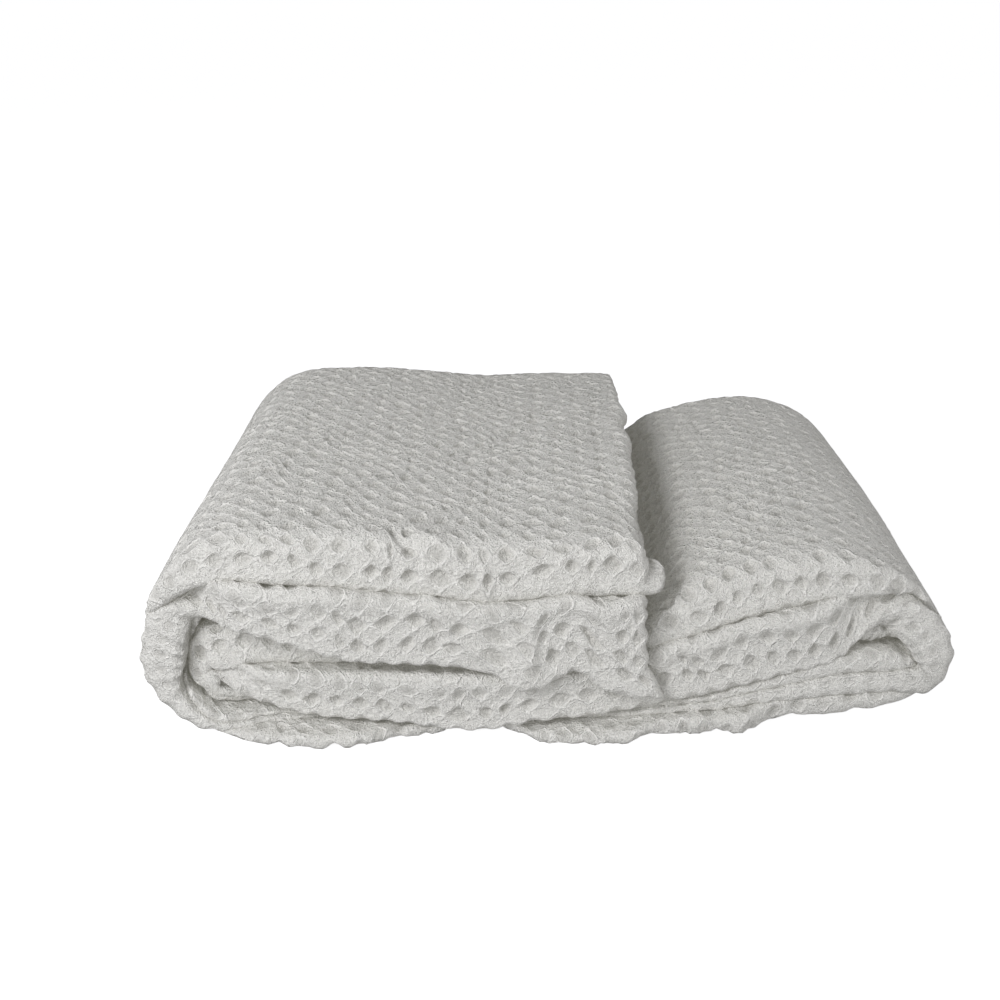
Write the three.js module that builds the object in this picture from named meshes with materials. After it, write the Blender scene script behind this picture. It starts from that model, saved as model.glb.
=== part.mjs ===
// A waffle duvet cover, folded in four across its width and then rolled over flat along its length.
// Millimetres, +Z up, +X right. The side with the fold and the hanging hems faces -Y.
import * as THREE from "three";
import { mergeVertices } from "three/addons/utils/BufferGeometryUtils.js";

// The cloth: two panels lying on each other, counted as one layer
const LAYER_THICKNESS = 21;
const LAYER_GAP = 2;
const HEM_THICKNESS = 10;
const EDGE_ROUNDING = 0.45;
const HEM_ROUNDING = 5;
const CLOTH_COLOUR = 0xe4e2dc;
const CLOTH_ROUGHNESS = 0.95;

// The fold in four: round of the back fold, bend of the hanging hem, set-back of the inner hem
const BACK_ROUND = 34;
const BACK_NEST = 4;
const HEM_BEND = 12;
const HEM_SET_BACK = 5;
const LEAST_BEND = 0.001;
const HALF_DEPTH = 250;

// How far the leaves swell up between front and back, and how uneven the pile lies
const SWELL = 9;
const PILE_HEIGHT = 200;
const SWAY_X = 5;
const SWAY_Y = 4;
const SWAY_Z = 4;
const SWAY_LENGTH = 105;
const SWAY_START_X = 0.6;
const SWAY_START_Y = 1.1;

// A row for each station along the rolled strip, from the flap's end on top, round the left,
// along the floor, round the right, back to the left under the flap, and tucked in.
// x, z: the crease between the folded lip and the open lip. up, down: their depths, outward and inward.
// fold, edge, back: where the fold, the hanging hem and the back end. hang, bend: the hem's length
// below its bend, and 1 where it hangs straight down.
const COLUMNS = ["x", "z", "up", "down", "fold", "edge", "back", "hang", "bend"];
const STATIONS = [
  [94, 140, 44, 32, -238, -250, 240, 71, 1],
  [62, 139, 45, 33, -240, -254, 243, 68, 1],
  [46, 138, 46, 34, -241, -253, 244, 60, 1],
  [28, 140, 44, 34, -242, -251, 245, 51, 1],
  [2, 137, 46, 34, -243, -252, 246, 54, 1],
  [-19, 134, 48, 34, -242, -254, 246, 57, 1],
  [-46, 131, 50, 34, -242, -251, 247, 38, 1],
  [-72, 133, 48, 34, -241, -250, 248, 35, 1],
  [-122, 139, 46, 34, -240, -250, 248, 35, 1],
  [-172, 145, 44, 36, -238, -249, 248, 32, 1],
  [-222, 147, 43, 37, -236, -246, 247, 24, 1],
  [-266, 149, 37, 33, -231, -240, 244, 26, 1],
  [-301, 139, 27, 27, -226, -232, 240, 20, 0.75],
  [-324, 115, 20, 23, -223, -227, 238, 16, 0.4],
  [-335, 86, 17, 20, -222, -225, 237, 12, 0.1],
  [-337, 56, 16, 16, -223, -225, 237, 12, 0],
  [-324, 29, 13, 8, -228, -228, 239, 12, 0],
  [-290, 11, 11, 5, -240, -230, 243, 12, 0],
  [-236, 11, 11, 6, -252, -228, 246, 12, 0],
  [-176, 11, 11, 6, -258, -226, 248, 12, 0],
  [-106, 11, 11, 6, -246, -224, 250, 12, 0],
  [-40, 11, 11, 6, -238, -224, 250, 12, 0],
  [30, 11, 11, 7, -250, -226, 250, 12, 0],
  [96, 13, 13, 8, -245, -230, 249, 12, 0],
  [150, 17, 14, 10, -238, -231, 247, 12, 0],
  [208, 22, 15, 12, -230, -227, 245, 12, 0],
  [266, 27, 15, 14, -220, -219, 242, 12, 0],
  [310, 31, 16, 15, -212, -213, 239, 12, 0],
  [338, 42, 17, 14, -207, -208, 236, 12, 0],
  [350, 62, 19, 15, -204, -205, 235, 12, 0],
  [341, 84, 20, 17, -204, -206, 234, 12, 0],
  [318, 104, 25, 22, -205, -208, 234, 12, 0.2],
  [288, 117, 32, 40, -208, -212, 235, 18, 0.6],
  [250, 118, 42, 62, -213, -219, 236, 32, 1],
  [198, 109, 45, 68, -218, -226, 238, 39, 1],
  [148, 95, 42, 62, -222, -230, 240, 38, 1],
  [118, 86, 28, 56, -224, -232, 240, 36, 1],
  [90, 77, 22, 50, -226, -234, 240, 30, 1],
  [40, 62, 36, 26, -226, -235, 240, 28, 1],
  [-10, 51, 46, 16, -226, -235, 240, 21, 1],
  [-60, 50, 43, 15, -225, -234, 240, 20, 1],
  [-124, 53, 47, 18, -224, -233, 240, 22, 1],
  [-196, 53, 50, 17, -223, -232, 238, 21, 1],
  [-246, 58, 43, 18, -222, -230, 236, 16, 1],
  [-280, 57, 33, 13, -221, -226, 235, 12, 0.4],
  [-298, 43, 15, 10, -220, -222, 234, 12, 0],
  [-289, 28, 9, 7, -219, -219, 233, 12, 0],
  [-256, 24, 6, 6, -216, -212, 232, 12, 0],
  [-190, 24, 6, 6, -214, -208, 232, 12, 0],
  [-110, 24, 6, 6, -214, -208, 232, 12, 0],
  [-30, 24, 6, 6, -214, -208, 232, 12, 0],
  [40, 26, 6, 6, -214, -208, 232, 12, 0],
];

// Steps of the sheet: along the strip by length and by turn, with short ones beside its two ends,
// and across it as shares of each layer
const STEP_LENGTH = 30;
const STEP_TURN = 0.26;
const END_STEPS = [0.1, 0.3];
const SLOPE_STEP = 0.02;
const OUTER_STOPS = [0, 0.33, 0.67, 1];
const INNER_STOPS = [0, 0.5, 1];
const BEND_STOPS = [0.5, 1];
const FRONT_STEPS = 4;
const BACK_STEPS = 3;
const NEST_STEPS = 2;

const tracks = COLUMNS.map((name, column) => {
  const points = STATIONS.map((row, index) => new THREE.Vector2(index, row[column]));
  return new THREE.SplineCurve(points);
});

// All columns at a place along the strip, with the outward direction of the leaf there.
function station(place) {
  const last = STATIONS.length - 1;
  const values = {};
  COLUMNS.forEach((name, column) => {
    values[name] = tracks[column].getPoint(place / last).y;
  });
  const before = Math.max(0, place - SLOPE_STEP) / last;
  const after = Math.min(last, place + SLOPE_STEP) / last;
  const runX = tracks[0].getPoint(after).y - tracks[0].getPoint(before).y;
  const runZ = tracks[1].getPoint(after).y - tracks[1].getPoint(before).y;
  values.outward = new THREE.Vector2(runZ, -runX).normalize();
  return values;
}

// The places along the strip where the sheet has a row of vertices.
function stripPlaces() {
  const last = STATIONS.length - 1;
  const ends = [0, ...END_STEPS];
  const places = [...ends];
  for (let index = 0; index < last; index += 1) {
    const [from, to] = [station(index), station(index + 1)];
    const length = Math.hypot(to.x - from.x, to.z - from.z);
    const turn = from.outward.angleTo(to.outward);
    const steps = Math.max(1, Math.round(length / STEP_LENGTH), Math.round(turn / STEP_TURN));
    for (let step = index === 0 ? 1 : 0; step < steps; step += 1) {
      places.push(index + step / steps);
    }
  }
  return [...places, ...ends.map((end) => last - end).reverse()];
}

// Points of a half circle or half ellipse between two layers, without its two ends.
function foldPoints(count, centre, reach, from, to) {
  const middle = (from.n + to.n) / 2;
  const radius = (to.n - from.n) / 2;
  return Array.from({ length: count }, (unused, index) => {
    const share = (index + 1) / (count + 1);
    return {
      y: centre + reach * Math.sin(Math.PI * share),
      n: middle - radius * Math.cos(Math.PI * share),
      thickness: THREE.MathUtils.lerp(from.thickness, to.thickness, share),
    };
  });
}

// Points of a layer that runs straight from front to back, or the other way.
function layerPoints(shares, from, to, layer) {
  return shares.map((share) => ({ ...layer, y: THREE.MathUtils.lerp(from, to, share) }));
}

// The hem that hangs over the layers below: a bend and a straight fall, from the place where it starts.
function hemPoints(row, { n, thickness }) {
  const bendLength = (HEM_BEND * Math.PI) / 2;
  const turn = Math.max(row.bend, LEAST_BEND) * (Math.PI / 2);
  const radius = bendLength / turn;
  const endY = -radius * Math.sin(turn);
  const endN = -radius * (1 - Math.cos(turn));
  const hem = Math.min(thickness, HEM_THICKNESS);
  const start = row.edge - endY + row.hang * Math.cos(turn) + (hem / 2) * Math.sin(turn);
  const points = BEND_STOPS.map((share) => ({
    y: start - radius * Math.sin(turn * share),
    n: n - radius * (1 - Math.cos(turn * share)),
    thickness: THREE.MathUtils.lerp(thickness, hem, share),
  }));
  const fall = (row.hang - HEM_ROUNDING) / 2;
  [fall, 2 * fall, 2 * fall + HEM_ROUNDING].forEach((length) => points.push({
    y: start + endY - length * Math.cos(turn),
    n: n + endN - length * Math.sin(turn),
    thickness: hem,
  }));
  points.at(-1).thickness = hem * EDGE_ROUNDING;
  return { start, points };
}

// The sheet's middle line across the fold in four: inner hem, back fold, outer layer, front fold,
// second layer, nested back fold, third layer, hanging hem.
function middleLine(row) {
  const [upper, lower] = [row.up, row.down].map((depth) => {
    return Math.min(LAYER_THICKNESS, (depth - LAYER_GAP - LAYER_GAP / 2) / 2);
  });
  const first = { n: lower / 2 - row.down, thickness: lower };
  const second = { n: row.up - upper / 2, thickness: upper };
  const third = { n: (upper + LAYER_GAP) / 2, thickness: upper };
  const fourth = { n: -(lower + LAYER_GAP) / 2, thickness: lower };
  const backReach = Math.min((second.n - first.n) / 2, BACK_ROUND);
  const backStart = row.back - backReach - upper / 2;
  const nestReach = (third.n - fourth.n) / 2;
  const nestStart = backStart - BACK_NEST;
  const frontReach = (second.n - third.n) / 2;
  const frontStart = row.fold + frontReach + upper / 2;
  const hem = hemPoints(row, fourth);
  const innerHem = hem.start + HEM_SET_BACK;
  return [
    { ...first, y: innerHem, thickness: lower * EDGE_ROUNDING },
    ...layerPoints(INNER_STOPS, innerHem + HEM_ROUNDING, backStart, first),
    ...foldPoints(BACK_STEPS, backStart, backReach, first, second),
    ...layerPoints(OUTER_STOPS, backStart, frontStart, second),
    ...foldPoints(FRONT_STEPS, frontStart, -frontReach, second, third),
    ...layerPoints(INNER_STOPS, frontStart, nestStart, third),
    ...foldPoints(NEST_STEPS, nestStart, nestReach, third, fourth),
    ...layerPoints(INNER_STOPS, nestStart, hem.start, fourth),
    ...hem.points,
  ];
}

// The direction across the sheet at each point of its middle line.
function acrossDirections(line) {
  return line.map((unused, index) => {
    const before = line[Math.max(index - 1, 0)];
    const after = line[Math.min(index + 1, line.length - 1)];
    return new THREE.Vector2(after.y - before.y, after.n - before.n).normalize();
  });
}

// Swells the leaves between front and back and lets the whole pile lie a little unevenly on its flat base.
function settle(point) {
  const height = point.z / PILE_HEIGHT;
  const swell = SWELL * height * Math.cos((Math.PI * point.y) / (2 * HALF_DEPTH));
  const swayX = SWAY_X * height * Math.sin(point.y / SWAY_LENGTH + SWAY_START_X);
  const swayY = SWAY_Y * height * Math.sin(point.x / SWAY_LENGTH + SWAY_START_Y);
  const swayZ = SWAY_Z * height * Math.sin(point.x / SWAY_LENGTH) * Math.cos(point.y / SWAY_LENGTH);
  point.add(new THREE.Vector3(swayX, swayY, swell + swayZ));
  point.z = Math.max(point.z, 0);
  return point;
}

// Carries every vertex of a flat sheet to its folded place.
function foldedSheet() {
  const rows = stripPlaces().map(station);
  const lines = rows.map(middleLine);
  const across = lines[0].length - 1;
  const along = rows.length - 1;
  const sheet = new THREE.BoxGeometry(across, 1, along, across, 1, along);
  const directions = lines.map(acrossDirections);
  const vertices = sheet.attributes.position;
  const corner = new THREE.Vector3();
  for (let index = 0; index < vertices.count; index += 1) {
    corner.fromBufferAttribute(vertices, index);
    const column = Math.round(corner.x + across / 2);
    const place = Math.round(corner.z + along / 2);
    const row = rows[place];
    const point = lines[place][column];
    const direction = directions[place][column];
    const atEnd = place === 0 || place === along;
    const offset = corner.y * point.thickness * (atEnd ? EDGE_ROUNDING : 1);
    const y = point.y + offset * direction.y;
    const n = point.n - offset * direction.x;
    const folded = new THREE.Vector3(row.x + n * row.outward.x, y, row.z + n * row.outward.y);
    vertices.setXYZ(index, ...settle(folded));
  }
  sheet.deleteAttribute("normal");
  sheet.deleteAttribute("uv");
  const closed = mergeVertices(sheet);
  closed.computeVertexNormals();
  return closed;
}

const cloth = new THREE.MeshStandardMaterial({ color: CLOTH_COLOUR, roughness: CLOTH_ROUGHNESS });
const cover = new THREE.Mesh(foldedSheet(), cloth);
cover.name = "duvet_cover";

const part = new THREE.Group();
part.add(cover);
export default part;
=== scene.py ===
# A waffle duvet cover, folded in four across its width and rolled over flat, lying on a pale floor.
import math

import bpy
import numpy as np
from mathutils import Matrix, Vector
from mathutils.bvhtree import BVHTree


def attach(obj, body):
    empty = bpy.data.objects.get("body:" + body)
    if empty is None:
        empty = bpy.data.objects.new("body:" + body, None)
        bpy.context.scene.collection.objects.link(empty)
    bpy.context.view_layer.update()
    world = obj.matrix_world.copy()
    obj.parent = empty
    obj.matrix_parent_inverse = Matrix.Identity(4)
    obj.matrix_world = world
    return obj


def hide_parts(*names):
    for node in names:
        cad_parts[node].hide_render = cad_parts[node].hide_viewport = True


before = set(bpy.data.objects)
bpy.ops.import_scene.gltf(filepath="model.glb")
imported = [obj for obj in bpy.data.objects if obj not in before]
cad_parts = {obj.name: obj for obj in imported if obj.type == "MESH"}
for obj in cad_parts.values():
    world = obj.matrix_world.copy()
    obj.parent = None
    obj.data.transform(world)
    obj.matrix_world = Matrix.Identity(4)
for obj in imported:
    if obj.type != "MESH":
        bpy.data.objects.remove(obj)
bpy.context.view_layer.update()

MM = 0.001
SEED = 11

# The cloth's layers, in millimetres: two panels lying on each other are one layer. From the middle of
# the fold in four out to its side there are one and a half gaps.
LAYER_THICKNESS = 21
LAYER_GAP = 0.5
PRESSED_GAP = 0.2
HALF_GAPS = 1.5
PRESSED_FILL = 0.6
HALF_DEPTH = 250

# The hems and the strip's ends, in millimetres, with the shares of the thickness that their edges keep
HEM_THICKNESS = 12
HEM_BEND = 4
HEM_FALL = 12
HEM_FILL = 0.47
HEM_SET_BACK = 4
LEAST_BEND = 0.001
EDGE_ROUND = 9
THIN_EDGE = 0.3
BLUNT_EDGE = 0.9
END_ROUND = 11
END_EDGE = 0.4

# The folds: how square the front ones are, how the back ones and the turns reach, in millimetres, and
# how far the lips fill out their corners
SOFT_FRONT = 0.55
PRESSED_FRONT = 0.38
BACK_ROUND = 34
BACK_NEST = 4
TURN_FLARE = 4
TURN_SET_BACK = 12
CORNER_FILL = 0.5
SHOULDER_FILL = 2.4

# How far the leaves swell up between front and back, and how uneven the pile lies, in millimetres
SWELL = 9
PILE_HEIGHT = 200
SWAY_X = 5
SWAY_Y = 4
SWAY_Z = 4
SWAY_LENGTH = 105
SWAY_START_X = 0.6
SWAY_START_Y = 1.1

# A row for each station along the rolled strip, from the flap's end on top, round the left,
# along the floor, round the right, back to the left under the flap, and tucked in. In millimetres:
# where the leaf's middle is, how thick it is outward and inward, where its front fold, its hem and its
# back fold lie, and how far the hem hangs. Bend is how far the hem turns down, from 0 to 1.
COLUMNS = ["x", "z", "up", "down", "fold", "edge", "back", "hang", "bend"]
STATIONS = np.array([
    [94, 140, 44, 32, -238, -250, 240, 80, 1],
    [62, 139, 45, 33, -240, -254, 243, 73, 1],
    [46, 138, 46, 34, -241, -253, 244, 60, 1],
    [28, 140, 44, 34, -242, -251, 245, 51, 1],
    [2, 137, 46, 34, -243, -252, 246, 57, 1],
    [-19, 134, 48, 34, -242, -254, 246, 64, 1],
    [-46, 131, 50, 34, -242, -251, 247, 46, 1],
    [-72, 133, 48, 34, -241, -250, 248, 41, 1],
    [-122, 139, 46, 34, -240, -250, 248, 44, 1],
    [-172, 145, 44, 36, -238, -249, 248, 44, 1],
    [-222, 147, 43, 37, -236, -246, 247, 32, 1],
    [-266, 149, 37, 33, -231, -240, 244, 26, 1],
    [-299, 144, 21, 33, -231, -234, 240, 22, 0.6],
    [-328, 121, 8, 36, -227, -231, 238, 14, 0.08],
    [-343, 88, 4, 36, -211, -228, 237, 12, 0],
    [-348, 54, 4, 36, -210, -227, 237, 12, 0],
    [-331, 22, 4, 23, -214, -230, 239, 12, 0],
    [-290, 5, 5, 12, -238, -243, 243, 12, 0],
    [-236, 10, 10, 7, -261, -236, 246, 12, 0],
    [-176, 10, 10, 6, -263, -228, 248, 12, 0],
    [-106, 8, 8, 6, -242, -224, 250, 12, 0],
    [-40, 7, 7, 6, -230, -224, 250, 12, 0],
    [4, 7, 7, 6, -255, -226, 250, 12, 0],
    [74, 10, 10, 8, -257, -229, 249, 12, 0],
    [98, 13, 13, 10, -246, -230, 249, 12, 0],
    [150, 18, 15, 13, -245, -232, 247, 12, 0],
    [176, 21, 17, 18, -247, -231, 246, 12, 0],
    [208, 25, 18, 24, -229, -229, 245, 12, 0],
    [266, 27, 15, 39, -226, -223, 242, 12, 0],
    [312, 28, 12, 38, -217, -219, 239, 12, 0],
    [351, 29, 4, 34, -201, -214, 236, 12, 0],
    [365, 59, 4, 33, -192, -209, 235, 12, 0],
    [349, 93, 4, 37, -190, -206, 234, 12, 0],
    [322, 117, 10, 53, -197, -208, 234, 14, 0.2],
    [288, 125, 24, 57, -207, -213, 235, 26, 0.6],
    [250, 120, 40, 58, -212, -220, 236, 38, 1],
    [198, 109, 45, 58, -217, -227, 238, 38, 1],
    [148, 95, 42, 56, -222, -230, 240, 38, 1],
    [118, 86, 28, 53, -224, -232, 240, 36, 1],
    [90, 77, 22, 48, -226, -234, 240, 31, 1],
    [40, 65, 33, 29, -226, -240, 240, 30, 1],
    [-10, 60, 37, 25, -226, -244, 240, 30, 1],
    [-60, 60, 34, 25, -225, -245, 240, 38, 1],
    [-124, 62, 39, 27, -224, -245, 240, 31, 1],
    [-196, 62, 42, 26, -223, -243, 238, 26, 1],
    [-246, 62, 40, 22, -222, -236, 236, 18, 1],
    [-280, 59, 37, 13, -221, -227, 235, 12, 0.5],
    [-289, 57, 39, 14, -220, -226, 234, 12, 0.2],
    [-294, 52, 23, 14, -220, -225, 234, 12, 0.1],
    [-296, 44, 16, 13, -220, -223, 234, 12, 0],
    [-289, 28, 9, 13, -219, -221, 233, 12, 0],
    [-256, 24, 6, 12, -216, -218, 232, 12, 0],
    [-190, 24, 6, 8, -214, -210, 232, 12, 0],
    [-110, 24, 6, 6, -214, -208, 232, 12, 0],
    [-30, 24, 6, 6, -214, -208, 232, 12, 0],
    [40, 26, 6, 6, -214, -208, 232, 12, 0],
], float)

# Points between two stations, round a fold and round the hem's bend
PLACE_STEPS = 40
ARC_POINTS = 17
BEND_POINTS = 9

# How the waffle's lattice is laid over the folds, as shares of a lip, of a run and of the sheet
GUIDE_SHARE = 0.6
LEAST_RUN = 0.35
INNER_JOIN = 0.6
HEM_JOIN = 0.3
JOIN_RUN = 0.4

# The waffle, in millimetres: its pitch, how deep its hollows and the pads between them are, by what
# share that varies, and how far the floor of a hollow can puff up
PITCH = 21
HOLLOW_DEPTH = 9.5
PAD_DEPTH = 2.2
DEPTH_SPREAD = 0.4
FLOOR_PUFF = 0.6
FLOOR_START = 0.45
CHANCE_CELLS = 128

# How uneven the waffle is, in cells: the level of its ridges and how they wander. A pucker is as wide
# as its first number, in cells, and as deep as its second, in millimetres.
DRIFT_CELLS = 64
RING = 0.12
RING_SPREAD = 0.26
RING_RUN = 0.9
WANDER = 0.36
WANDER_SPREAD = 1.9
JITTER = 0.07
JITTER_SPREAD = 0.9
PUCKERS = [(1.4, 1.4), (4.0, 2.0)]
PUCKER_SEED = 1
RING_SEED = 3
FLATTEN_SEED = 4
JITTER_SEEDS = (5, 6)
WANDER_SEEDS = (7, 8)
DIP_SEED = 9

# How much of the relief is left where the cloth is thin, pressed, touching, underneath or at an edge
FULL_RELIEF = 11
MOST_RELIEF = 0.5
LIFT = 3
THIN_LIFT = 2
THIN = 12
LEAST_OPEN = 0.4
OPEN_GAIN = 1.15
TOUCH_RUN = 0.55
UNDER_FOLD = 13 / 16
UNDERSIDE = 0.3
FLATTEN = 0.15
FLATTEN_SPREAD = 7
EDGE_RELIEF = 0.2
EDGE_CELLS = 1.3

# The edges: how far hems and ends dip in, in cells, and how the rim between the faces bulges
HEM_SCALLOP = 0.1
END_SCALLOP = 0.25
END_WAVE = 0.4
RIM_BULGE = 0.5
RIM_RELIEF = 0.4
RIM_REACH = 8

# The flap's end: a tongue and a corner that stand out, in millimetres, and their runs in cells
TONGUE = 15
TONGUE_LENGTH = 2.5
TONGUE_START = 0.5
TONGUE_RISE = 0.5
TONGUE_END = 2.2
CORNER_FLARE = 10
CORNER_WIDTH = 1.5

# Creases, each from one place of the waffle's lattice to another, with its width in cells and its height
# in millimetres. At its ends a crease keeps a share of its height.
CREASE_END = 0.35
CREASES = [
    (10.6, -2.0, 8.2, -0.4, 0.34, -5),
    (10.0, -2.4, 7.6, -0.9, 0.5, 3),
    (6.5, -0.4, 6.6, 0.4, 0.35, 5),
    (9.0, 40.8, 7.4, 42.6, 0.3, 4),
    (7.5, 42.4, 6.1, 43.9, 0.3, 4),
    (9.1, 41.5, 7.8, 43.2, 0.3, -3),
    (4.3, 39.8, 5.3, 41.8, 0.4, 4),
    (5.2, 41.6, 6.0, 44, 0.4, 5),
    (5.2, 39.9, 6.2, 41.9, 0.35, -2.5),
    (6.1, 41.7, 6.8, 44, 0.35, -3),
    (17.6, 41.4, 20.4, 42.5, 0.12, -2.5),
    (18.0, 42.0, 20.9, 43.2, 0.12, -2.5),
    (18.6, 41.3, 21.4, 42.2, 0.1, -2),
    (17.2, -0.4, 20.2, 0.2, 0.12, -2),
    (65.8, 42.3, 63.6, 43.4, 0.14, -2.5),
    (65.0, 42.0, 62.7, 42.9, 0.14, -2.5),
    (64.6, 43.2, 62.4, 44, 0.14, -2.5),
    (31.0, -0.9, 31.5, 1.1, 0.3, -4),
    (33.8, -1.2, 33.4, 0.9, 0.3, -3.5),
    (36.0, -0.8, 36.8, 1.2, 0.25, -4),
    (38.9, -1.1, 38.3, 1.0, 0.3, -4),
    (41.6, -0.9, 42.0, 1.2, 0.3, -3.5),
    (44.4, -1.2, 43.9, 0.8, 0.25, -4),
    (46.9, -0.8, 47.5, 1.0, 0.3, -3.5),
    (50.2, -1.0, 49.7, 1.1, 0.3, -4),
    (53.1, -0.9, 53.6, 1.0, 0.25, -3.5),
    (56.0, -1.1, 55.4, 0.9, 0.3, -3),
]

# Mesh steps in a waffle cell: hidden, seen from the sides and back, seen from above, seen from the front
HIDDEN, ROUND, ABOVE, FRONT = 1, 4, 6, 8

# The units of a cell, the steps of the folds' grid in a cell, and the faces of the sheet with its rim
CELL = 24
GRID_ALONG = 8
GRID_ACROSS = 16
GRID_END = 1e-6
OUTER, INNER, RIM = 0, 1, 2
RIM_ROWS = 5
TINY = 1e-9

# Rays from the cloth to the sky and to the camera, which tell how open it lies and where it shows
SKY_RAYS = 72
SKY_REACH = 1.15
RAY_START = 3
GRAZING = 0.1
FEW_RAYS = 5
FACING_EYE = 0.5
ROOM_GAIN = 1.6

# The cloth's colours: its own on the pads and the tints of its grain, with a painted highlight on the
# ridges and painted shade in the hollows
PAD_COLOUR = (0.885, 0.875, 0.83, 1)
RIDGE_HIGHLIGHT_COLOUR = (0.975, 0.965, 0.92, 1)
HOLLOW_SHADE_COLOUR = (0.72, 0.71, 0.67, 1)
DULL_TINT = (0.72, 0.72, 0.71, 1)
CLEAR_TINT = (1, 1, 1, 1)
HOLLOW_SHADE_GAIN = 1.3
RIDGE_HIGHLIGHT_SHARE = 0.8
CLEAR_SHARE = 0.66

# A faint warm glow painted over the whole cloth, for light that comes through it, which lifts its shade
PAINTED_GLOW_COLOUR = (1, 0.97, 0.8, 1)
PAINTED_GLOW = 0.045

# Unevenness of the threads: scale, detail and roughness
DRIFT_NOISE = (2.3, 2, 0.5)
FIBRE_NOISE = (800, 2, 0.7)
SLUB_NOISE = (300, 3, 0.6)
CRINKLE_NOISE = (140, 4, 0.6)

# Rings of thread in the hollows and on the pads, and how narrow the thread on ridges and hems is, with the
# painted highlight along it
THREADS = 15
THREAD_DRIFT = 0.9
THREAD_FADE = 20
RIDGE_WOBBLE = 0.9
RIDGE_SHARPNESS = 60
HEM_SHARPNESS = 12

# How much slubs, fibres and threads mottle the colour, and how high they stand
SLUB_MOTTLE = 1.6
FIBRE_MOTTLE = 3.2
THREAD_MOTTLE = 0.35
RIDGE_HEIGHT = 0.5
THREAD_HEIGHT = 0.3
FIBRE_HEIGHT = 1.6
SLUB_HEIGHT = 2
CRINKLE_HEIGHT = 2
BUMP_STRENGTH = 0.9
BUMP_DEPTH = 2.6

# How dull the cloth is
ROUGHNESS = 0.92
FIBRE_ROUGHNESS = 0.1
SHEEN = 0.15
SHEEN_ROUGHNESS = 0.5
SPECULAR = 0.2

# The floor, in metres
FLOOR_REACH = 30
FLOOR_COLOUR = (0.4, 0.4, 0.4, 1)
FLOOR_ROUGHNESS = 0.8
FLOOR_GLOW_COLOUR = (1, 1, 1, 1)
FLOOR_GLOW = 0.85

# The light, a little cool: each light's name, place, aim, size and power
LIGHT_COLOUR = (0.99, 0.99, 1.02)
SKY_LIGHT = 0.33
LIGHTS = [
    ("key_light", (-1.05, -1.3, 1.35), (0, 0, 0.1), 0.7, 24),
    ("front_light", (-0.9, -2.2, 0.6), (0, 0, 0.1), 1.6, 22),
    ("side_light", (1.9, -0.7, 0.4), (0.3, 0, 0.1), 1.0, 11),
]

# The camera: metres, degrees and millimetres
CAMERA_PLACE = (-0.038, -1.10, 0.622)
CAMERA_DOWN = 24.6
CAMERA_LENS = 42
CAMERA_SENSOR = 36


def spline(places):
    """The table's columns at places along the strip, on a smooth curve through its rows."""
    last = len(STATIONS) - 1
    index = np.clip(np.floor(places).astype(int), 0, last - 1)
    share = (places - index)[:, None]
    before, start, end, after = [STATIONS[np.clip(index + step, 0, last)] for step in (-1, 0, 1, 2)]
    leave = (end - before) / 2
    arrive = (after - start) / 2
    cubic = 2 * start - 2 * end + leave + arrive
    square = 3 * end - 3 * start - 2 * leave - arrive
    return cubic * share**3 + square * share**2 + leave * share + start


def station(places):
    """Each column by its name, with the outward direction of the leaf, how far it is a pressed turn and
    how far it is a shoulder between a turn and a hanging hem."""
    last = len(STATIONS) - 1
    values = dict(zip(COLUMNS, spline(places).T[:, :, None]))
    index = np.arange(last + 1)
    run = STATIONS[np.minimum(index + 1, last)] - STATIONS[np.maximum(index - 1, 0)]
    run = run[:, :2] / np.linalg.norm(run[:, :2], axis=1)[:, None]
    run_x = np.interp(places, index, run[:, 0])
    run_z = np.interp(places, index, run[:, 1])
    length = np.hypot(run_x, run_z)
    values["out_x"] = (run_z / length)[:, None]
    values["out_z"] = (-run_x / length)[:, None]
    bend = np.clip(values["bend"], 0, 1)
    values["sideways"] = np.abs(values["out_x"]) * (1 - bend)
    values["shoulder"] = bend * (1 - bend)
    return values


def strip_places():
    """Places along the strip and their lengths from its start, measured out in the upper lip."""
    places = np.linspace(0, len(STATIONS) - 1, (len(STATIONS) - 1) * PLACE_STEPS + 1)
    row = station(places)
    reach = row["up"] * GUIDE_SHARE
    points = np.hstack([row["x"] + reach * row["out_x"], row["z"] + reach * row["out_z"]])
    steps = np.linalg.norm(np.diff(points, axis=0), axis=1)
    return places, np.concatenate([[0], np.cumsum(steps)])


def half_round(centre, reach, start, end, fullness):
    """A fold between two layers, each given as (offset, thickness). Fullness 1 is round, less is square."""
    share = np.linspace(0, 1, ARC_POINTS)[None, :]
    out = np.sin(np.pi * share) ** fullness
    turn = np.cos(np.pi * share)
    y = centre + reach * out
    n = (start[0] + end[0]) / 2 - (end[0] - start[0]) / 2 * np.sign(turn) * np.abs(turn) ** fullness
    return y, n, start[1] + (end[1] - start[1]) * share, np.zeros_like(y)


def hanging_hem(row, layer):
    """The hem's bend and fall."""
    share = np.linspace(0, 1, BEND_POINTS)[None, :]
    turn = np.maximum(row["bend"], LEAST_BEND) * np.pi / 2
    radius = HEM_BEND * np.pi / 2 / turn
    thinning = np.maximum(layer[1] - HEM_THICKNESS, 0) * np.clip(row["bend"], 0, 1)
    hem = layer[1] - thinning
    flare = TURN_FLARE * row["sideways"]
    start = row["edge"] + radius * np.sin(turn) + row["hang"] * np.cos(turn) + hem / 2 * np.sin(turn)
    y = np.hstack([start - radius * np.sin(turn * share), row["edge"] + hem / 2 * np.sin(turn)])
    n = np.hstack([
        layer[0] - radius * (1 - np.cos(turn * share)),
        layer[0] + flare - (HEM_FALL + row["hang"]) * np.sin(turn),
    ])
    thickness = np.hstack([layer[1] + (hem - layer[1]) * share, hem + 2 * flare])
    corner = CORNER_FILL * row["bend"] + SHOULDER_FILL * row["shoulder"]
    fill = np.hstack([corner * np.sin(np.pi * share) ** 2, 0 * hem])
    return y, n, thickness, fill


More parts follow.
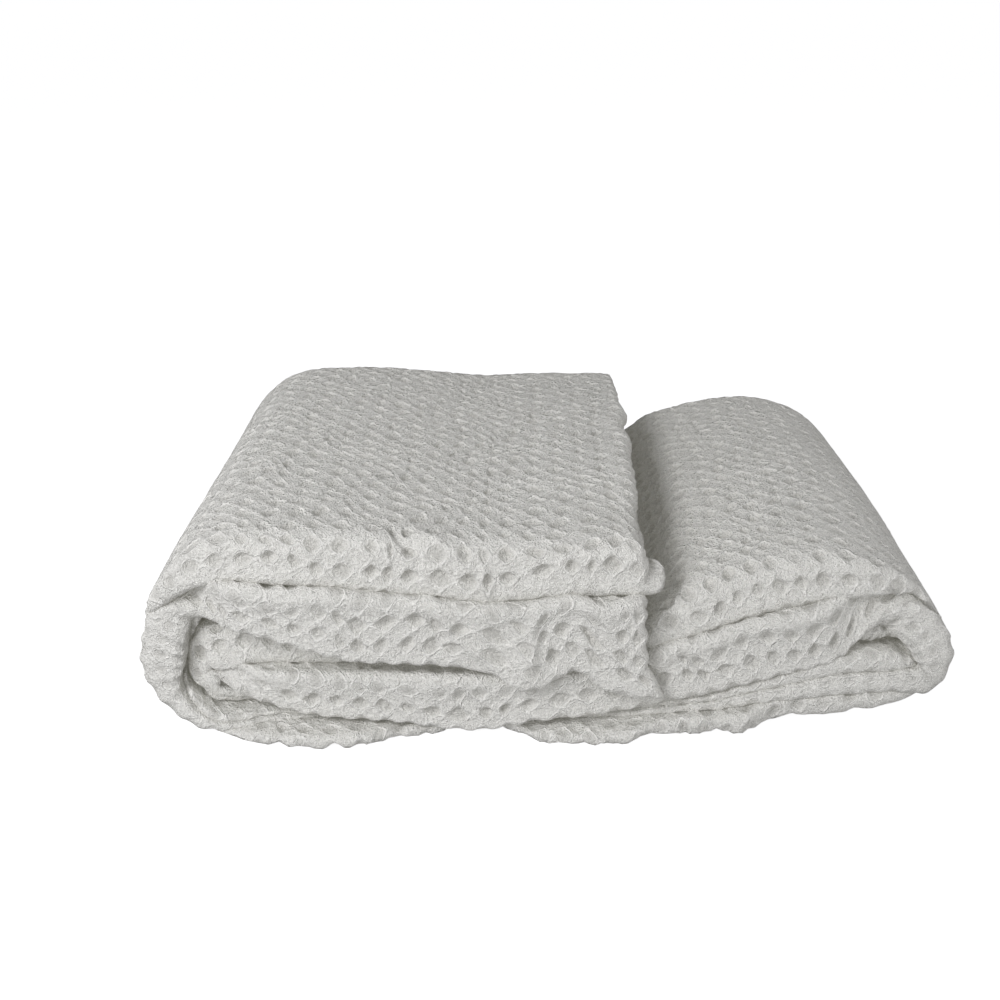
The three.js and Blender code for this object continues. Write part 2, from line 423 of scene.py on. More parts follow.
def middle_lines(row):
    """The sheet's middle line across the fold in four, for each row: y, offset, thickness and how far
    its lips fill out their corners.
    Inner hem, back fold, outer layer, front fold, second layer, nested fold, third layer, hanging hem."""
    press = 1 - np.clip(row["bend"], 0, 1)
    gap = LAYER_GAP + (PRESSED_GAP - LAYER_GAP) * press
    upper = np.minimum(LAYER_THICKNESS, (row["up"] - HALF_GAPS * gap) / 2)
    below = 2 * LAYER_THICKNESS * (1 + PRESSED_FILL * press)
    below = np.minimum(below, row["down"] - HALF_GAPS * gap)
    hem_share = 0.5 + HEM_FILL * row["sideways"]
    first = (below * (1 - hem_share) / 2 - row["down"], below * (1 - hem_share))
    second = (row["up"] - upper / 2, upper)
    third = ((upper + gap) / 2, upper)
    fourth = (-(below * hem_share + gap) / 2, below * hem_share)
    back_reach = np.minimum((second[0] - first[0]) / 2, BACK_ROUND)
    back_start = row["back"] - back_reach - upper / 2
    nest_reach = (third[0] - fourth[0]) / 2
    front_reach = (second[0] - third[0]) / 2
    front_start = row["fold"] + front_reach + upper / 2
    hem = hanging_hem(row, fourth)
    set_back = HEM_SET_BACK + HEM_THICKNESS * (1 - press) + TURN_SET_BACK * row["sideways"] ** 2
    inner_hem = (row["edge"] + set_back, first[0], first[1], 0 * press)
    back = half_round(back_start, back_reach, first, second, 1)
    fullness = SOFT_FRONT + (PRESSED_FRONT - SOFT_FRONT) * press
    front = half_round(front_start, -front_reach, second, third, fullness)
    corner = CORNER_FILL + SHOULDER_FILL * row["shoulder"]
    front[3][:, ARC_POINTS // 2:] = corner * np.sin(np.linspace(0, np.pi, ARC_POINTS // 2 + 1)) ** 2
    nest = half_round(back_start - BACK_NEST, nest_reach, third, fourth, 1)
    return [np.hstack(parts) for parts in zip(inner_hem, back, front, nest, hem)]


def joined(near, far, share):
    """Near changing smoothly to far as the share goes from 0 to 1."""
    share = np.clip(share, 0, 1)
    share = share * share * (3 - 2 * share)
    return near + (far - near) * share


def lengths_across(y, n, thickness):
    """Lengths across the sheet from its inner hem, measured along its outer face."""
    run_y = np.diff(y, axis=1)
    run_n = np.diff(n, axis=1)
    slope_y = np.gradient(y, axis=1)
    slope_n = np.gradient(n, axis=1)
    slope = np.maximum(np.hypot(slope_y, slope_n), TINY)
    outer_y = np.diff(y + thickness / 2 * slope_n / slope, axis=1)
    outer_n = np.diff(n - thickness / 2 * slope_y / slope, axis=1)
    ahead = outer_y * run_y + outer_n * run_n > 0
    run = np.maximum(np.hypot(outer_y, outer_n) * ahead, np.hypot(run_y, run_n) * LEAST_RUN)
    return np.hstack([np.zeros((len(y), 1)), np.cumsum(run, axis=1)])


class Folds:
    """The folded sheet as a fine grid over the waffle's lattice: place, direction and thickness."""

    def __init__(self):
        places, lengths = strip_places()
        self.along = round(lengths[-1] / PITCH)
        cells = np.linspace(0, self.along, self.along * GRID_ALONG + 1)
        row = station(np.interp(cells * lengths[-1] / self.along, lengths, places))
        y, n, thickness, fill = middle_lines(row)
        length = lengths_across(y, n, thickness)
        middle = 1 + ARC_POINTS + ARC_POINTS // 2
        before = length[:, middle:middle + 1]
        after = length[:, -1:] - before
        self.inner_cells = round(before.mean() / PITCH)
        self.hem_cells = round(after.mean() / PITCH)
        self.across = self.inner_cells + self.hem_cells
        lattice = self.lattice_places(length - before, before, after)
        under_fold = 1 + ARC_POINTS + int(ARC_POINTS * UNDER_FOLD)
        over_hem = 1 + 3 * ARC_POINTS + BEND_POINTS // 2
        self.touches = lattice[:, [under_fold, over_hem]]
        stops = np.linspace(-self.inner_cells, self.hem_cells, self.across * GRID_ACROSS + 1)
        y, n, thickness, fill = [
            np.array([np.interp(stops, at, value) for at, value in zip(lattice, values)])
            for values in (y, n, thickness, fill)
        ]
        slope_y = np.gradient(y, axis=1)
        slope_n = np.gradient(n, axis=1)
        slope = np.hypot(slope_y, slope_n)
        slope_y = slope_y / slope
        slope_n = slope_n / slope
        self.middle = np.stack([row["x"] + n * row["out_x"], y, row["z"] + n * row["out_z"]], 2)
        self.facing = np.stack([-slope_y * row["out_x"], slope_n, -slope_y * row["out_z"]], 2)
        self.thickness = np.stack([thickness, thickness * fill], 2)
        bend = np.clip(row["bend"], 0, 1)
        self.softness = bend[:, 0]
        self.edge_share = BLUNT_EDGE + (THIN_EDGE - BLUNT_EDGE) * self.softness

    def lattice_places(self, down, before, after):
        """Lengths down from the front fold in cells, which come out whole at both hems."""
        to_hem = self.hem_cells - (after - down) / PITCH
        to_inner = (before + down) / PITCH - self.inner_cells
        inner = joined(down / PITCH, to_inner, (-down / before - INNER_JOIN) / JOIN_RUN)
        outer = joined(down / PITCH, to_hem, (down / after - HEM_JOIN) / JOIN_RUN)
        return np.where(down < 0, inner, outer)

    def edge_at(self, u):
        """The share of its thickness that the hem keeps at its edge."""
        return np.interp(u * GRID_ALONG, np.arange(len(self.edge_share)), self.edge_share)

    def touching(self, u, v):
        """1 where a soft fold's underside and the hem's bend lie on each other, 0 away from there."""
        rows = np.arange(len(self.touches))
        far = [v - np.interp(u * GRID_ALONG, rows, touch) for touch in self.touches.T]
        softness = np.interp(u * GRID_ALONG, rows, self.softness)
        return softness * np.exp(-(np.abs(far).min(axis=0) / TOUCH_RUN) ** 2)

    def at(self, u, v):
        """Middle point, facing, and thickness with its filling, at lattice places."""
        across = np.clip((v + self.inner_cells) * GRID_ACROSS, 0, self.across * GRID_ACROSS - GRID_END)
        along = np.clip(u * GRID_ALONG, 0, self.along * GRID_ALONG - GRID_END)
        i = along.astype(int)
        j = across.astype(int)
        a = (along - i)[:, None]
        b = (across - j)[:, None]

        def mixed(grid):
            near = grid[i, j] * (1 - b) + grid[i, j + 1] * b
            far = grid[i + 1, j] * (1 - b) + grid[i + 1, j + 1] * b
            return near * (1 - a) + far * a

        return mixed(self.middle), mixed(self.facing), mixed(self.thickness)


def drift(seed, spread, u, v):
    """A smooth uneven field from -1 to 1 over the lattice, with features about spread cells wide."""
    cells = DRIFT_CELLS
    table = np.random.default_rng(SEED + seed).uniform(-1, 1, (cells, cells))
    a = u / spread
    b = v / spread
    i = np.floor(a).astype(int)
    j = np.floor(b).astype(int)
    a = a - i
    b = b - j
    a = a * a * (3 - 2 * a)
    b = b * b * (3 - 2 * b)
    near = table[i % cells, j % cells] * (1 - b) + table[i % cells, (j + 1) % cells] * b
    far = table[(i + 1) % cells, j % cells] * (1 - b) + table[(i + 1) % cells, (j + 1) % cells] * b
    return near * (1 - a) + far * a


def weave(u, v):
    """Above 0 in a hollow, below 0 on a pad between hollows, 0 on the ridges."""
    return (np.cos(2 * np.pi * (u + 0.5)) + np.cos(2 * np.pi * v)) / 2


def ring_level(u, v):
    """The level of the weave at which a hollow's ridge runs."""
    return RING + RING_SPREAD * drift(RING_SEED, RING_RUN, u, v)


def relief(u, v):
    """How far the waffle lies below its ridges, in millimetres."""
    chance = np.random.default_rng(SEED).uniform(0, 1, (3, CHANCE_CELLS, CHANCE_CELLS))
    ring = ring_level(u, v)
    deep = weave(u, v) - ring
    hollow = np.clip(deep / (1 - ring), 0, 1)
    pad = np.clip(-deep / (1 + ring), 0, 1)
    at = (np.round(u + 0.5).astype(int) % CHANCE_CELLS, np.round(v).astype(int) % CHANCE_CELLS)
    between = (np.floor(u + 0.5).astype(int) % CHANCE_CELLS, np.floor(v).astype(int) % CHANCE_CELLS)
    puff = np.clip((hollow - FLOOR_START) / (1 - FLOOR_START), 0, 1) * FLOOR_PUFF * chance[1][at]
    depth = HOLLOW_DEPTH * (1 - DEPTH_SPREAD * chance[0][at]) * (1 - (1 - hollow) ** 2 - puff)
    depth = depth + PAD_DEPTH * (1 - DEPTH_SPREAD * chance[2][between]) * (1 - (1 - pad) ** 2)
    for number, (spread, size) in enumerate(PUCKERS):
        depth = depth + size * (1 - drift(PUCKER_SEED + number, spread, u, v)) / 2
    return depth


def settle(points):
    """Swells the leaves between front and back and lets the pile lie unevenly on its flat base."""
    x, y, z = points.T
    height = z / PILE_HEIGHT
    swell = SWELL * height * np.cos(np.pi * y / (2 * HALF_DEPTH))
    sway_x = SWAY_X * height * np.sin(y / SWAY_LENGTH + SWAY_START_X)
    sway_y = SWAY_Y * height * np.sin(x / SWAY_LENGTH + SWAY_START_Y)
    sway_z = SWAY_Z * height * np.sin(x / SWAY_LENGTH) * np.cos(y / SWAY_LENGTH)
    settled = points + np.stack([sway_x, sway_y, swell + sway_z], 1)
    settled[:, 2] = np.maximum(settled[:, 2], 0)
    return settled


def rounding(distance, size, least):
    """The share of its thickness that the sheet keeps near an edge, down to the least at the edge."""
    near = np.clip(1 - distance / size, 0, 1)
    return least + (1 - least) * np.sqrt(1 - near**2)


def crease(u, v):
    """The height of the creases, in millimetres."""
    height = np.zeros(len(u))
    for start_u, start_v, end_u, end_v, width, size in CREASES:
        run_u = end_u - start_u
        run_v = end_v - start_v
        share = ((u - start_u) * run_u + (v - start_v) * run_v) / (run_u**2 + run_v**2)
        share = np.clip(share, 0, 1)
        far = np.hypot(u - start_u - share * run_u, v - start_v - share * run_v)
        fade = CREASE_END + (1 - CREASE_END) * np.sin(np.pi * share)
        height += size * np.exp(-(far / width) ** 2) * fade
    return height


def side_of(face):
    """1 on the outer face, -1 on the inner face, and between them on the rows of the rim."""
    between = 1 - 2 * (face - RIM + 1) / (RIM_ROWS + 1)
    return np.where(face >= RIM, between, np.where(face == OUTER, 1, -1))


def past_edge(folds, u, v, face):
    """How far the rim's points lie past their edge round to the inner face, in cells along and across."""
    thickness = folds.at(u, v)[2][:, 0]
    cells = (face >= RIM) * (1 - side_of(face)) / 2 * thickness / PITCH
    along = 1.0 * (u == folds.along) - (u == 0)
    across = 1.0 * (v == folds.hem_cells) - (v == -folds.inner_cells)
    return along * cells, across * cells


def cloth_points(folds, u, v, face, room):
    """Places of the sheet's vertices in millimetres. Room is 1 where the cloth lies open and 0 where
    it is pressed between layers, or None for the plain sheet."""
    inner = v + folds.inner_cells
    hem = folds.hem_cells - v
    ends = np.minimum(u, folds.along - u)
    edges = np.minimum(inner, hem)
    calm = np.clip(np.minimum(edges, ends), 0, 1)
    shift_u, shift_v = [
        calm * (WANDER * drift(wander, WANDER_SPREAD, u, v) + JITTER * drift(jitter, JITTER_SPREAD, u, v))
        for wander, jitter in zip(WANDER_SEEDS, JITTER_SEEDS)
    ]
    uneven = (1 + drift(DIP_SEED, WANDER_SPREAD, u, v)) / 2
    scallop = END_SCALLOP * (1 - np.cos(2 * np.pi * v)) / 2
    end_dip = uneven * np.clip(1 - ends, 0, 1) * (END_WAVE + scallop)
    hem_dip = uneven * np.clip(1 - edges, 0, 1) * (1 - np.cos(2 * np.pi * u)) / 2
    shift_u += np.sign(folds.along / 2 - u) * end_dip
    shift_v += HEM_SCALLOP * np.sign(hem - inner) * hem_dip
    middle, facing, thickness = folds.at(u + shift_u, v + shift_v)
    tongue = np.clip((v - TONGUE_START) / TONGUE_RISE, 0, 1) * np.clip(TONGUE_END - v, 0, 1)
    corner = np.clip(1 - hem / CORNER_WIDTH, 0, 1)
    at_end = np.clip(1 - u / TONGUE_LENGTH, 0, 1) ** 2
    middle[:, 0] += at_end * (TONGUE * tongue + CORNER_FLARE * corner)
    thickness, fill = thickness.T
    thinned = rounding(edges * PITCH, EDGE_ROUND, folds.edge_at(u))
    thinned = thinned * rounding(ends * PITCH, END_ROUND, END_EDGE)
    thickness = thickness * thinned
    side = side_of(face)
    offset = (thickness + fill * (face == OUTER)) / 2
    if room is not None:
        lift = (LIFT + THIN_LIFT * np.clip(1 - thickness / THIN, 0, 1)) * room * thinned
        free = np.minimum(OPEN_GAIN * room, 1 + UNDERSIDE * side * facing[:, 2])
        open_share = LEAST_OPEN + (1 - LEAST_OPEN) * np.clip(free, 0, 1)
        uneven_share = 1 - FLATTEN * (1 + drift(FLATTEN_SEED, FLATTEN_SPREAD, u, v)) / 2
        edge_share = EDGE_RELIEF + (1 - EDGE_RELIEF) * np.clip(np.minimum(edges, ends) / EDGE_CELLS, 0, 1)
        open_share = open_share * (1 - folds.touching(u, v))
        deepest = (MOST_RELIEF * thickness + lift) / FULL_RELIEF
        share = open_share * uneven_share * np.minimum(edge_share, deepest)
        offset += (lift - relief(u, v) * share) * (face < RIM) + crease(u, v) * (face == OUTER)
        past_u, past_v = past_edge(folds, u, v, face)
        beyond = middle - folds.at(u + shift_u - np.sign(past_u), v + shift_v - np.sign(past_v))[0]
        beyond /= np.maximum(np.linalg.norm(beyond, axis=1), TINY)[:, None]
        dent = relief(u + past_u, v + past_v) / FULL_RELIEF
        reach = np.minimum(thickness / 2, RIM_REACH)
        bulge = reach * np.sqrt(1 - side**2) * (RIM_BULGE - RIM_RELIEF * dent)
        middle = middle + bulge[:, None] * beyond
    return settle(middle + (side * offset)[:, None] * facing)


def zipped(outer, inner, half):
    """Triangles between two rows of points on one side of a cell, with the ridge's slant."""
    triangles = []
    i = 0
    j = 0
    while i + 1 < len(outer) or j + 1 < len(inner):
        next_outer = outer[i + 1][0] if i + 1 < len(outer) else math.inf
        next_inner = inner[j + 1][0] if j + 1 < len(inner) else math.inf
        first_half = inner[j][0] < half
        if next_inner < next_outer or (next_inner == next_outer and first_half):
            triangles.append((outer[i], inner[j + 1], inner[j]))
            j += 1
        else:
            triangles.append((outer[i], outer[i + 1], inner[j]))
            i += 1
    return triangles


def turned(point, turns):
    """A point of a cell after quarter turns."""
    a, b = point
    for turn in range(turns):
        a, b = CELL - b, a
    return a, b


def cell_triangles(level, sides):
    """Triangles of one waffle cell from its steps and the steps of its four sides, counter-clockwise."""
    if level == HIDDEN and max(sides) == HIDDEN:
        return [((0, 0), (CELL, 0), (CELL, CELL)), ((0, 0), (CELL, CELL), (0, CELL))]
    rims = [[(k * CELL // steps, 0) for k in range(steps + 1)] for steps in sides]
    triangles = []
    if level == HIDDEN:
        centre = (CELL // 2, CELL // 2)
        for turns, rim in enumerate(rims):
            ring = [turned(point, turns) for point in rim]
            triangles += [(a, b, centre) for a, b in zip(ring, ring[1:])]
        return triangles
    step = CELL // level
    inner = [(k * step, step) for k in range(1, level)]
    for turns, rim in enumerate(rims):
        for triangle in zipped(rim, inner, CELL // 2):
            triangles.append(tuple(turned(point, turns) for point in triangle))
    for a in range(step, CELL - step, step):
        for b in range(step, CELL - step, step):
            c = a + step
            d = b + step
            if (a < CELL // 2) == (b < CELL // 2):
                triangles += [((a, b), (c, b), (c, d)), ((a, b), (c, d), (a, d))]
            else:
                triangles += [((a, b), (c, b), (a, d)), ((c, b), (c, d), (a, d))]
    return triangles


def sky_directions():
    """Directions spread evenly over the sky, down to just under the horizon."""
    rise = 1 - (np.arange(SKY_RAYS) + 0.5) / SKY_RAYS * SKY_REACH
    turn = np.pi * (3 - math.sqrt(5)) * np.arange(SKY_RAYS)
    flat = np.sqrt(1 - rise**2)
    return [Vector(d) for d in np.stack([flat * np.cos(turn), flat * np.sin(turn), rise], 1)]


def cell_levels(folds):
    """The mesh steps of every cell of both faces, and how open it lies, from 0 to 1."""
    along = folds.along
    across = folds.across
    corner_u, corner_v = [grid.ravel().astype(float) for grid in np.mgrid[0:along + 1, 0:across + 1]]
    corner_v -= folds.inner_cells
    grid = np.arange(len(corner_u)).reshape(along + 1, across + 1)
    quads = np.stack([grid[:-1, :-1], grid[1:, :-1], grid[1:, 1:], grid[:-1, 1:]], 2).reshape(-1, 4)
    quads = [quads, quads[:, ::-1]]
    points = [
        cloth_points(folds, corner_u, corner_v, np.full(len(corner_u), face), None)
        for face in (OUTER, INNER)
    ]
    polygons = np.vstack([quads[0], quads[1] + len(grid.ravel())])
    tree = BVHTree.FromPolygons(np.vstack(points).tolist(), polygons.tolist())
    sky = sky_directions()
    eye = Vector(CAMERA_PLACE) / MM
    levels = []
    rooms = []
    for face in (OUTER, INNER):
        corners = points[face][quads[face]]
        centres = corners.mean(axis=1)
        normals = np.cross(corners[:, 2] - corners[:, 0], corners[:, 3] - corners[:, 1])
        normals /= np.maximum(np.linalg.norm(normals, axis=1), TINY)[:, None]
        level = np.full(len(centres), HIDDEN)
        room = np.zeros(len(centres))
        for index, normal in enumerate(Vector(normal) for normal in normals):
            start = Vector(centres[index]) + normal * RAY_START
            if start.z < 0:
                continue
            ways = [way for way in sky if normal.dot(way) > GRAZING]
            seen = sum(tree.ray_cast(start, way)[0] is None for way in ways)
            room[index] = seen / max(len(ways), 1)
            if seen > FEW_RAYS:
                level[index] = ROUND
            to_eye = (eye - start).normalized()
            facing_eye = normal.dot(to_eye)
            if facing_eye <= 0:
                continue
            spots = np.vstack([centres[index:index + 1], (corners[index] + centres[index]) / 2])
            spots = [Vector(spot) + normal * RAY_START for spot in spots]
            hits = [tree.ray_cast(spot, (eye - spot).normalized())[0] for spot in spots]
            if any(hit is None for hit in hits):
                level[index] = FRONT if facing_eye > FACING_EYE else ABOVE
        levels.append(level.reshape(along, across))
        rooms.append(room.reshape(along, across))
    return levels, rooms


def room_at(rooms, folds, u, v, face):
    """How open the cloth lies at its vertices, smoothed between the cells."""
    found = np.zeros(len(u))
    for number, room in enumerate(rooms):
        chosen = face == number
        a = np.clip(u[chosen] - 0.5, 0, folds.along - 1)
        b = np.clip(v[chosen] + folds.inner_cells - 0.5, 0, folds.across - 1)
        i = np.minimum(a.astype(int), folds.along - 2)
        j = np.minimum(b.astype(int), folds.across - 2)
        a = a - i
        b = b - j
        near = room[i, j] * (1 - b) + room[i, j + 1] * b
        far = room[i + 1, j] * (1 - b) + room[i + 1, j + 1] * b
        found[chosen] = np.clip((near * (1 - a) + far * a) * ROOM_GAIN, 0, 1)
    return found


def side_steps(levels):
    """Steps of each cell's sides: below, after, above and before. A shared side takes the finer."""
    found = []
    for own, other in (levels, levels[::-1]):
        before = np.vstack([other[:1], own[:-1]])
        after = np.vstack([own[1:], other[-1:]])
        below = np.hstack([other[:, :1], own[:, :-1]])
        above = np.hstack([own[:, 1:], other[:, -1:]])
        found.append(np.stack([np.maximum(own, x) for x in (below, after, above, before)], 2))
    return found


def cloth_mesh(folds, levels):
    """The sheet's mesh: the waffle's cells where they show, plain ones where they are folded away."""
    sides = side_steps(levels)
    rows = folds.along * CELL + 1
    columns = folds.across * CELL + 1
    patterns = {}
    parts = []
    for face in (OUTER, INNER):
        shapes = np.concatenate([levels[face][:, :, None], sides[face]], 2).reshape(-1, 5)
        kinds, kind_of = np.unique(shapes, axis=0, return_inverse=True)
        i, j = np.divmod(np.arange(len(shapes)), folds.across)
        for number, kind in enumerate(kinds):
            key = tuple(int(x) for x in kind)
            if key not in patterns:
                patterns[key] = np.array(cell_triangles(key[0], key[1:]))
            chosen = kind_of.ravel() == number
            places = patterns[key][None] + CELL * np.stack([i[chosen], j[chosen]], 1)[:, None, None, :]
            keys = (face * rows + places[..., 0]) * columns + places[..., 1]
            keys = keys.reshape(-1, 3)
            parts.append(keys if face == OUTER else keys[:, ::-1])
    parts += rim_triangles(folds, levels, rows, columns)
    keys, triangles = np.unique(np.vstack(parts), return_inverse=True)
    face, rest = np.divmod(keys, rows * columns)
    u, v = np.divmod(rest, columns)
    return u / CELL, v / CELL - folds.inner_cells, face, triangles.reshape(-1, 3)


def rim_triangles(folds, levels, rows, columns):
    """Triangles that close the sheet along its four edges, by way of rows of points between its faces."""
    top = folds.along * CELL
    far = folds.across * CELL
    finer = np.maximum(levels[OUTER], levels[INNER])
    steps = [finer[:, 0], finer[-1, :], finer[:, -1], finer[0, :]]

    def stops(counts):
        return np.array(sorted({
            cell * CELL + k * CELL // count for cell, count in enumerate(counts) for k in range(count + 1)
        }))

    edges = [
        np.stack(np.broadcast_arrays(stops(steps[0]), 0), 1),
        np.stack(np.broadcast_arrays(top, stops(steps[1])), 1),
        np.stack(np.broadcast_arrays(stops(steps[2])[::-1], far), 1),
        np.stack(np.broadcast_arrays(0, stops(steps[3])[::-1]), 1),
    ]
    found = []
    for edge in edges:
        faces = [OUTER, *range(RIM, RIM + RIM_ROWS), INNER]
        rims = [(face * rows + edge[:, 0]) * columns + edge[:, 1] for face in faces]
        for one, two in zip(rims, rims[1:]):
            found.append(np.stack([one[1:], one[:-1], two[:-1]], 1))
            found.append(np.stack([one[1:], two[:-1], two[1:]], 1))
    return found


def cover_piece(folds):
    """The duvet cover as one mesh, with its lattice places kept for the weave's finish."""
    levels, rooms = cell_levels(folds)
    u, v, face, triangles = cloth_mesh(folds, levels)
    points = cloth_points(folds, u, v, face, room_at(rooms, folds, u, v, face)) * MM
    mesh = bpy.data.meshes.new("duvet_cover_cloth")
    mesh.from_pydata(points.tolist(), [], triangles.tolist())
    mesh.shade_smooth()
    past_u, past_v = past_edge(folds, u, v, face)
    places = np.stack([u + past_u, v + past_v, ring_level(u + past_u, v + past_v)], 1)
    lattice = mesh.attributes.new("waffle_place", "FLOAT_VECTOR", "POINT")
    lattice.data.foreach_set("vector", places.astype(np.float32).ravel())
    piece = bpy.data.objects.new("duvet_cover_cloth", mesh)
    bpy.context.scene.collection.objects.link(piece)
    return piece


class Number:
    """A number that changes over a surface, for sums written as plain expressions."""

    def __init__(self, finish, socket):
        self.finish = finish
        self.socket = socket

    def worked(self, operation, *others):
        return self.finish.sum(operation, self, *others)

    def __add__(self, other):
        return self.worked("ADD", other)

    def __radd__(self, other):
        return self.finish.sum("ADD", other, self)

    def __sub__(self, other):
        return self.worked("SUBTRACT", other)

    def __rsub__(self, other):
        return self.finish.sum("SUBTRACT", other, self)

    def __mul__(self, other):
        return self.worked("MULTIPLY", other)

    def __rmul__(self, other):
        return self.finish.sum("MULTIPLY", other, self)

    def __truediv__(self, other):
        return self.worked("DIVIDE", other)

    def __rtruediv__(self, other):
        return self.finish.sum("DIVIDE", other, self)

    def cosine(self):
        return self.worked("COSINE")

    def sine(self):
        return self.worked("SINE")

    def above(self, least):
        return self.worked("MAXIMUM", least)

    def below(self, most):
        return self.worked("MINIMUM", most)


class Finish:
    """A material made of nodes."""

    def __init__(self, name):
        self.material = bpy.data.materials.new(name)
        self.material.use_nodes = True
        self.tree = self.material.node_tree
        self.shader = self.tree.nodes["Principled BSDF"]

    def node(self, kind, settings, sockets):
        made = self.tree.nodes.new(kind)
        for name, value in settings.items():
            setattr(made, name, value)
        for name, value in sockets.items():
            self.feed(made.inputs[name], value)
        return made

    def feed(self, socket, value):
        if isinstance(value, Number):
            value = value.socket
        if isinstance(value, bpy.types.NodeSocket):
            self.tree.links.new(value, socket)
        else:
            socket.default_value = value

    def sum(self, operation, *values):
        made = self.node("ShaderNodeMath", {"operation": operation}, dict(enumerate(values)))
        return Number(self, made.outputs[0])

    def noise(self, place, scale, detail, roughness):
        """Noise about 0, between -0.5 and 0.5."""
        sockets = {"Vector": place, "Scale": scale, "Detail": detail, "Roughness": roughness}
        made = self.node("ShaderNodeTexNoise", {}, sockets)
        return Number(self, made.outputs["Fac"]) - 0.5

    def blend(self, share, first, second, kind="MIX"):
        settings = {"data_type": "RGBA", "blend_type": kind}
        made = self.node("ShaderNodeMix", settings, {"Factor": share, 6: first, 7: second})
        return made.outputs[2]


def waffle_finish(hem):
    """White cotton: thread on the ridges and along the hem, rings of thread, fibres, a painted highlight on
    the ridges and the hem's edge, and painted shade in the hollows.
    """
    finish = Finish("waffle_cloth")
    lattice = finish.node("ShaderNodeAttribute", {"attribute_name": "waffle_place"}, {}).outputs["Vector"]
    place = finish.node("ShaderNodeTexCoord", {}, {}).outputs["Object"]
    parts = finish.node("ShaderNodeSeparateXYZ", {}, {"Vector": lattice}).outputs
    u = Number(finish, parts["X"])
    v = Number(finish, parts["Y"])
    ring = Number(finish, parts["Z"])
    turn = 2 * math.pi
    deep = ((u * turn + math.pi).cosine() + (v * turn).cosine()) / 2 - ring
    drifted = finish.noise(lattice, *DRIFT_NOISE)
    fibres = finish.noise(place, *FIBRE_NOISE)
    slubs = finish.noise(place, *SLUB_NOISE)
    crinkles = finish.noise(place, *CRINKLE_NOISE)
    ridge_line = deep + slubs * RIDGE_WOBBLE
    hem_line = (v - hem) * HEM_SHARPNESS
    hem_thread_and_highlight = 1 / (1 + hem_line * hem_line)
    piping_and_highlight = (1 / (1 + ridge_line * ridge_line * RIDGE_SHARPNESS)).above(hem_thread_and_highlight)
    threads = ((deep + drifted * THREAD_DRIFT) * THREADS).sine() / (1 + deep * deep * THREAD_FADE)
    hollow = (deep * HOLLOW_SHADE_GAIN).above(0).below(1)
    # painted shade: the hollows are coloured darker and warmer for the shade that gathers in them
    colour = finish.blend(hollow, PAD_COLOUR, HOLLOW_SHADE_COLOUR)
    # painted highlight: the ridges and the hem's edge are coloured lighter for the light they catch; the
    # same mask raises their thread in the bump
    colour = finish.blend(piping_and_highlight * RIDGE_HIGHLIGHT_SHARE, colour, RIDGE_HIGHLIGHT_COLOUR)
    mottle = slubs * SLUB_MOTTLE + fibres * FIBRE_MOTTLE + threads * THREAD_MOTTLE + CLEAR_SHARE
    grain = finish.blend(mottle.above(0).below(1), DULL_TINT, CLEAR_TINT)
    finish.feed(finish.shader.inputs["Base Color"], finish.blend(1.0, colour, grain, "MULTIPLY"))
    height = piping_and_highlight * RIDGE_HEIGHT + threads * THREAD_HEIGHT
    height = height + fibres * FIBRE_HEIGHT + slubs * SLUB_HEIGHT + crinkles * CRINKLE_HEIGHT
    sockets = {"Strength": BUMP_STRENGTH, "Distance": BUMP_DEPTH * MM, "Height": height}
    bump = finish.node("ShaderNodeBump", {}, sockets)
    finish.feed(finish.shader.inputs["Normal"], bump.outputs["Normal"])
    finish.feed(finish.shader.inputs["Roughness"], fibres * FIBRE_ROUGHNESS + ROUGHNESS)
    # a faint warm painted glow from the whole cloth, which lifts its shaded creases and slots
    finish.feed(finish.shader.inputs["Emission Color"], PAINTED_GLOW_COLOUR)
    finish.feed(finish.shader.inputs["Emission Strength"], PAINTED_GLOW)
    finish.feed(finish.shader.inputs["Sheen Weight"], SHEEN)
    finish.feed(finish.shader.inputs["Sheen Roughness"], SHEEN_ROUGHNESS)
    finish.feed(finish.shader.inputs["Specular IOR Level"], SPECULAR)
    return finish.material


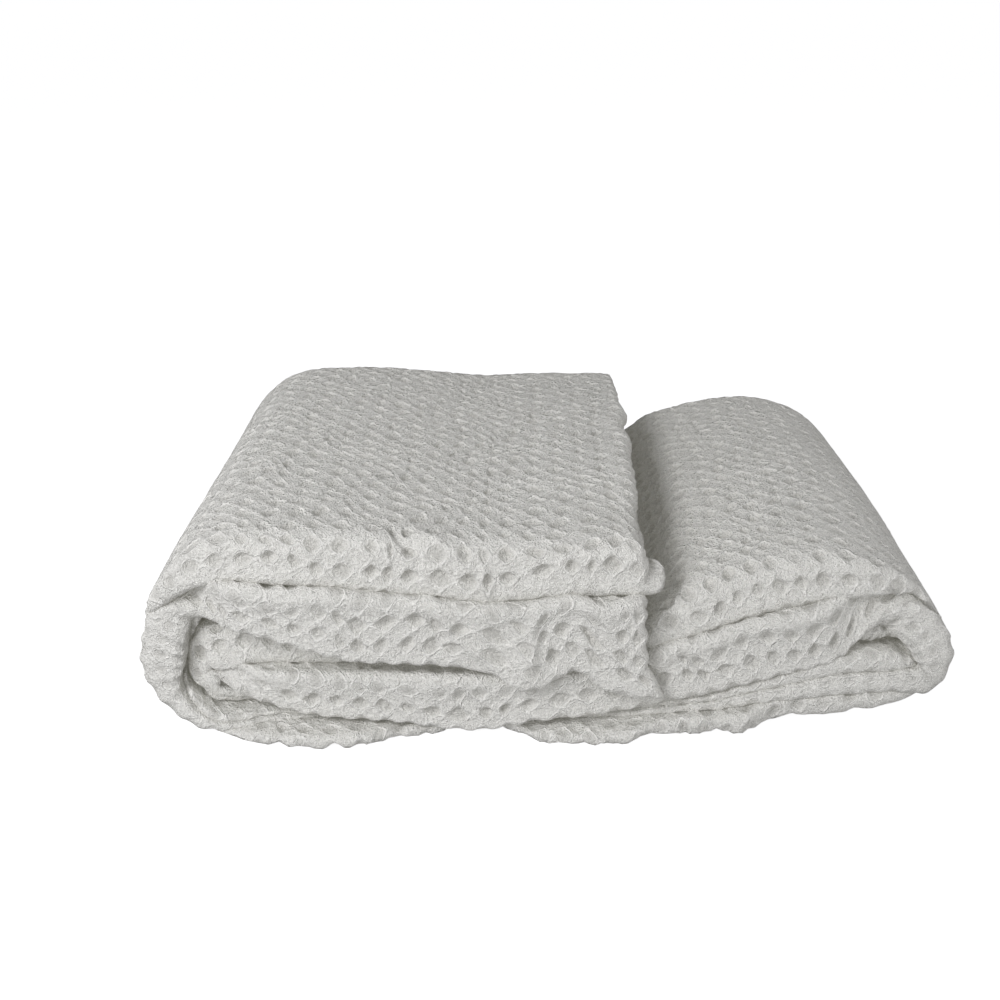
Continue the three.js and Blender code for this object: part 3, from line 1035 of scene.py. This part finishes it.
def pale_floor():
    """A wide floor, pale to the camera, that throws no light up on the cloth."""
    corners = [(-1, -1), (1, -1), (1, 1), (-1, 1)]
    mesh = bpy.data.meshes.new("floor")
    mesh.from_pydata([(x * FLOOR_REACH, y * FLOOR_REACH, 0) for x, y in corners], [], [(0, 1, 2, 3)])
    finish = Finish("pale_floor")
    finish.feed(finish.shader.inputs["Base Color"], FLOOR_COLOUR)
    finish.feed(finish.shader.inputs["Roughness"], FLOOR_ROUGHNESS)
    finish.feed(finish.shader.inputs["Emission Color"], FLOOR_GLOW_COLOUR)
    finish.feed(finish.shader.inputs["Emission Strength"], FLOOR_GLOW)
    mesh.materials.append(finish.material)
    piece = bpy.data.objects.new("floor", mesh)
    piece.visible_diffuse = False
    bpy.context.scene.collection.objects.link(piece)
    return piece


def soft_light(name, place, aim, size, power):
    """A square soft light turned to a place."""
    lamp = bpy.data.lights.new(name, "AREA")
    lamp.size = size
    lamp.energy = power
    lamp.color = LIGHT_COLOUR
    holder = bpy.data.objects.new(name, lamp)
    holder.location = place
    holder.rotation_euler = (Vector(aim) - Vector(place)).to_track_quat("-Z", "Y").to_euler()
    bpy.context.scene.collection.objects.link(holder)


# The cover
folds = Folds()
cover = cover_piece(folds)
cover.data.materials.append(waffle_finish(folds.hem_cells))
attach(cover, "root")
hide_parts("duvet_cover")

# The floor, the light and the camera
floor = pale_floor()

world = bpy.data.worlds.new("studio")
world.use_nodes = True
background = world.node_tree.nodes["Background"]
background.inputs["Color"].default_value = (*LIGHT_COLOUR, 1)
background.inputs["Strength"].default_value = SKY_LIGHT
bpy.context.scene.world = world
for light in LIGHTS:
    soft_light(*light)

camera = bpy.data.objects.new("camera", bpy.data.cameras.new("camera"))
camera.location = CAMERA_PLACE
camera.rotation_euler = (math.radians(90 - CAMERA_DOWN), 0, 0)
camera.data.lens = CAMERA_LENS
camera.data.sensor_width = CAMERA_SENSOR
bpy.context.scene.collection.objects.link(camera)
bpy.context.scene.camera = camera
bpy.context.scene.view_settings.view_transform = "Standard"
